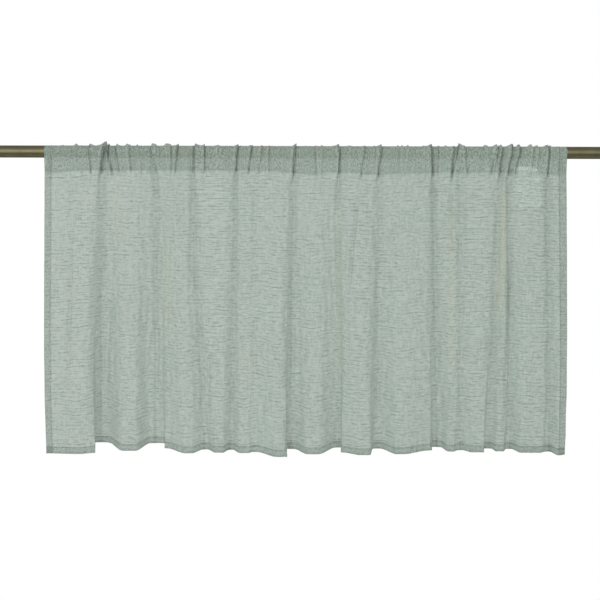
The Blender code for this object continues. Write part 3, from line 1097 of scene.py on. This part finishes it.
def thread_material():
    """Sewing thread, twisted."""
    graph = Graph(new_material("Sewing thread"))
    where = graph.node("ShaderNodeTexCoord").outputs["Object"]
    tone = graph.noise(where, TWIST_SCALE, detail=2.0, dimensions="3D")
    graph.set(Base_Color=graph.blend(tone, CLOTH_DARK, CLOTH_LIGHT), Roughness=SEWING_ROUGHNESS)
    return graph.owner


def label_material():
    """Pale woven satin, blank, that gives off light on the side against the cloth."""
    graph = Graph(new_material("Label satin"))
    _, u, v = graph.flat_place()
    rib, rib_middle = thread_rows(graph, u, v, LABEL_RIB, LABEL_RIB_LENGTH)
    colour = graph.blend(rib, LABEL_DARK, LABEL_PALE)
    back = graph.node("ShaderNodeNewGeometry").outputs["Backfacing"]
    graph.set(Base_Color=colour, Roughness=LABEL_ROUGHNESS)
    graph.set(Emission_Color=WHITE, Emission_Strength=graph.choice(back, *LABEL_LIGHT))
    normal = graph.bump(rib_middle, *LABEL_RELIEF)
    graph.finish(graph.through(LABEL_GLOW, colour, normal))
    return graph.owner


def brass_material():
    """Satin antique brass, a little mottled, with fine marks along the tube."""
    graph = Graph(new_material("Antique brass"))
    where = graph.node("ShaderNodeTexCoord").outputs["Object"]
    stretched = graph.node("ShaderNodeMapping", where)
    stretched.inputs["Scale"].default_value = MARK_STRETCH
    marks = graph.noise(stretched.outputs[0], MARK_SCALE, detail=2.0, dimensions="3D")
    mottle = graph.noise(where, MOTTLE_SCALE, detail=3.0, dimensions="3D")
    colour = graph.blend(mottle, BRASS_DARK, BRASS_LIGHT)
    roughness = graph.ranged(marks, *MARK_RANGE, *BRASS_ROUGHNESS)
    graph.set(Base_Color=colour, Metallic=1.0, Roughness=roughness)
    graph.bump(marks, *BRASS_RELIEF)
    return graph.owner


def make_floor():
    """A plain pale disc, far enough below the curtain to stay out of the photograph's frame."""
    place = (0, 0, FLOOR_HEIGHT)
    bpy.ops.mesh.primitive_circle_add(
        vertices=FLOOR_SIDES, radius=FLOOR_RADIUS, fill_type="NGON", location=place
    )
    floor = bpy.context.object
    floor.name = "studio_floor"
    graph = Graph(new_material("Pale floor"))
    graph.set(Base_Color=FLOOR_COLOUR, Roughness=FLOOR_ROUGHNESS)
    floor.data.materials.append(graph.owner)


def light_scene():
    """A sky that looks white and lights less from the room's side, and a large soft lamp in front."""
    world = bpy.data.worlds.new("Studio")
    world.use_nodes = True
    bpy.context.scene.world = world
    graph = Graph(world)
    toward = graph.node("ShaderNodeSeparateXYZ", graph.node("ShaderNodeTexCoord").outputs["Generated"])
    path = graph.node("ShaderNodeLightPath").outputs
    strength = graph.ranged(toward.outputs[1], -SIDE_BLEND, SIDE_BLEND, ROOM_LIGHT, WALL_LIGHT)
    mirrored = graph.ranged(toward.outputs[2], -HEIGHT_BLEND, HEIGHT_BLEND, *MIRRORED_LIGHT)
    strength = graph.choice(path["Is Glossy Ray"], strength, mirrored)
    strength = graph.choice(path["Is Camera Ray"], strength, 1.0)
    background = graph.tree.nodes["Background"]
    background.inputs["Color"].default_value = WHITE
    graph.feed(background.inputs["Strength"], strength)

    lamp = bpy.data.lights.new("key", "AREA")
    lamp.shape = "RECTANGLE"
    lamp.size, lamp.size_y = KEY_SIZE
    target = Vector((0.0, 0.0, (PANEL_LOW.z + PANEL_HIGH.z) / 2))
    way = target - KEY_PLACE
    lamp.energy = KEY_STRENGTH * pi * pi * way.length_squared  # power that gives this light from so far
    key = bpy.data.objects.new("key", lamp)
    key.location = KEY_PLACE
    key.rotation_euler = way.to_track_quat("-Z", "Y").to_euler()
    bpy.context.scene.collection.objects.link(key)


def place_camera():
    """The photograph's camera: the rod lies where the photograph has it, at the scale of PIXEL."""
    data = bpy.data.cameras.new("camera")
    data.sensor_width = SENSOR_WIDTH
    data.lens = SENSOR_WIDTH * CAMERA_DISTANCE / (PIXEL * PHOTO_SIDE)
    camera = bpy.data.objects.new("camera", data)
    right = (PHOTO_SIDE / 2 - ORIGIN_PIXEL[0]) * PIXEL
    up = (ORIGIN_PIXEL[1] - PHOTO_SIDE / 2) * PIXEL
    camera.location = (right, -CAMERA_DISTANCE, up)
    camera.rotation_euler = (radians(90), CAMERA_ROLL, 0.0)
    bpy.context.scene.collection.objects.link(camera)
    bpy.context.scene.camera = camera
    bpy.context.scene.view_settings.view_transform = "Standard"


def main():
    """Makes the scene and attaches each new piece to the root body."""
    place_camera()
    light_scene()
    make_floor()

    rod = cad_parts["curtain_rod"]
    rod.data.materials.clear()
    rod.data.materials.append(brass_material())

    cloth, cloth_flat = make_cloth(cloth_material())
    stitches = make_stitches(thread_material())
    label, label_flat = make_label(label_material())
    for piece, slot in ((cloth, "sheer_cloth"), (stitches, "sheer_cloth"), (label, "label_satin")):
        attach(piece, "root")
    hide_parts("curtain_panel")
    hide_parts("care_label")


main()
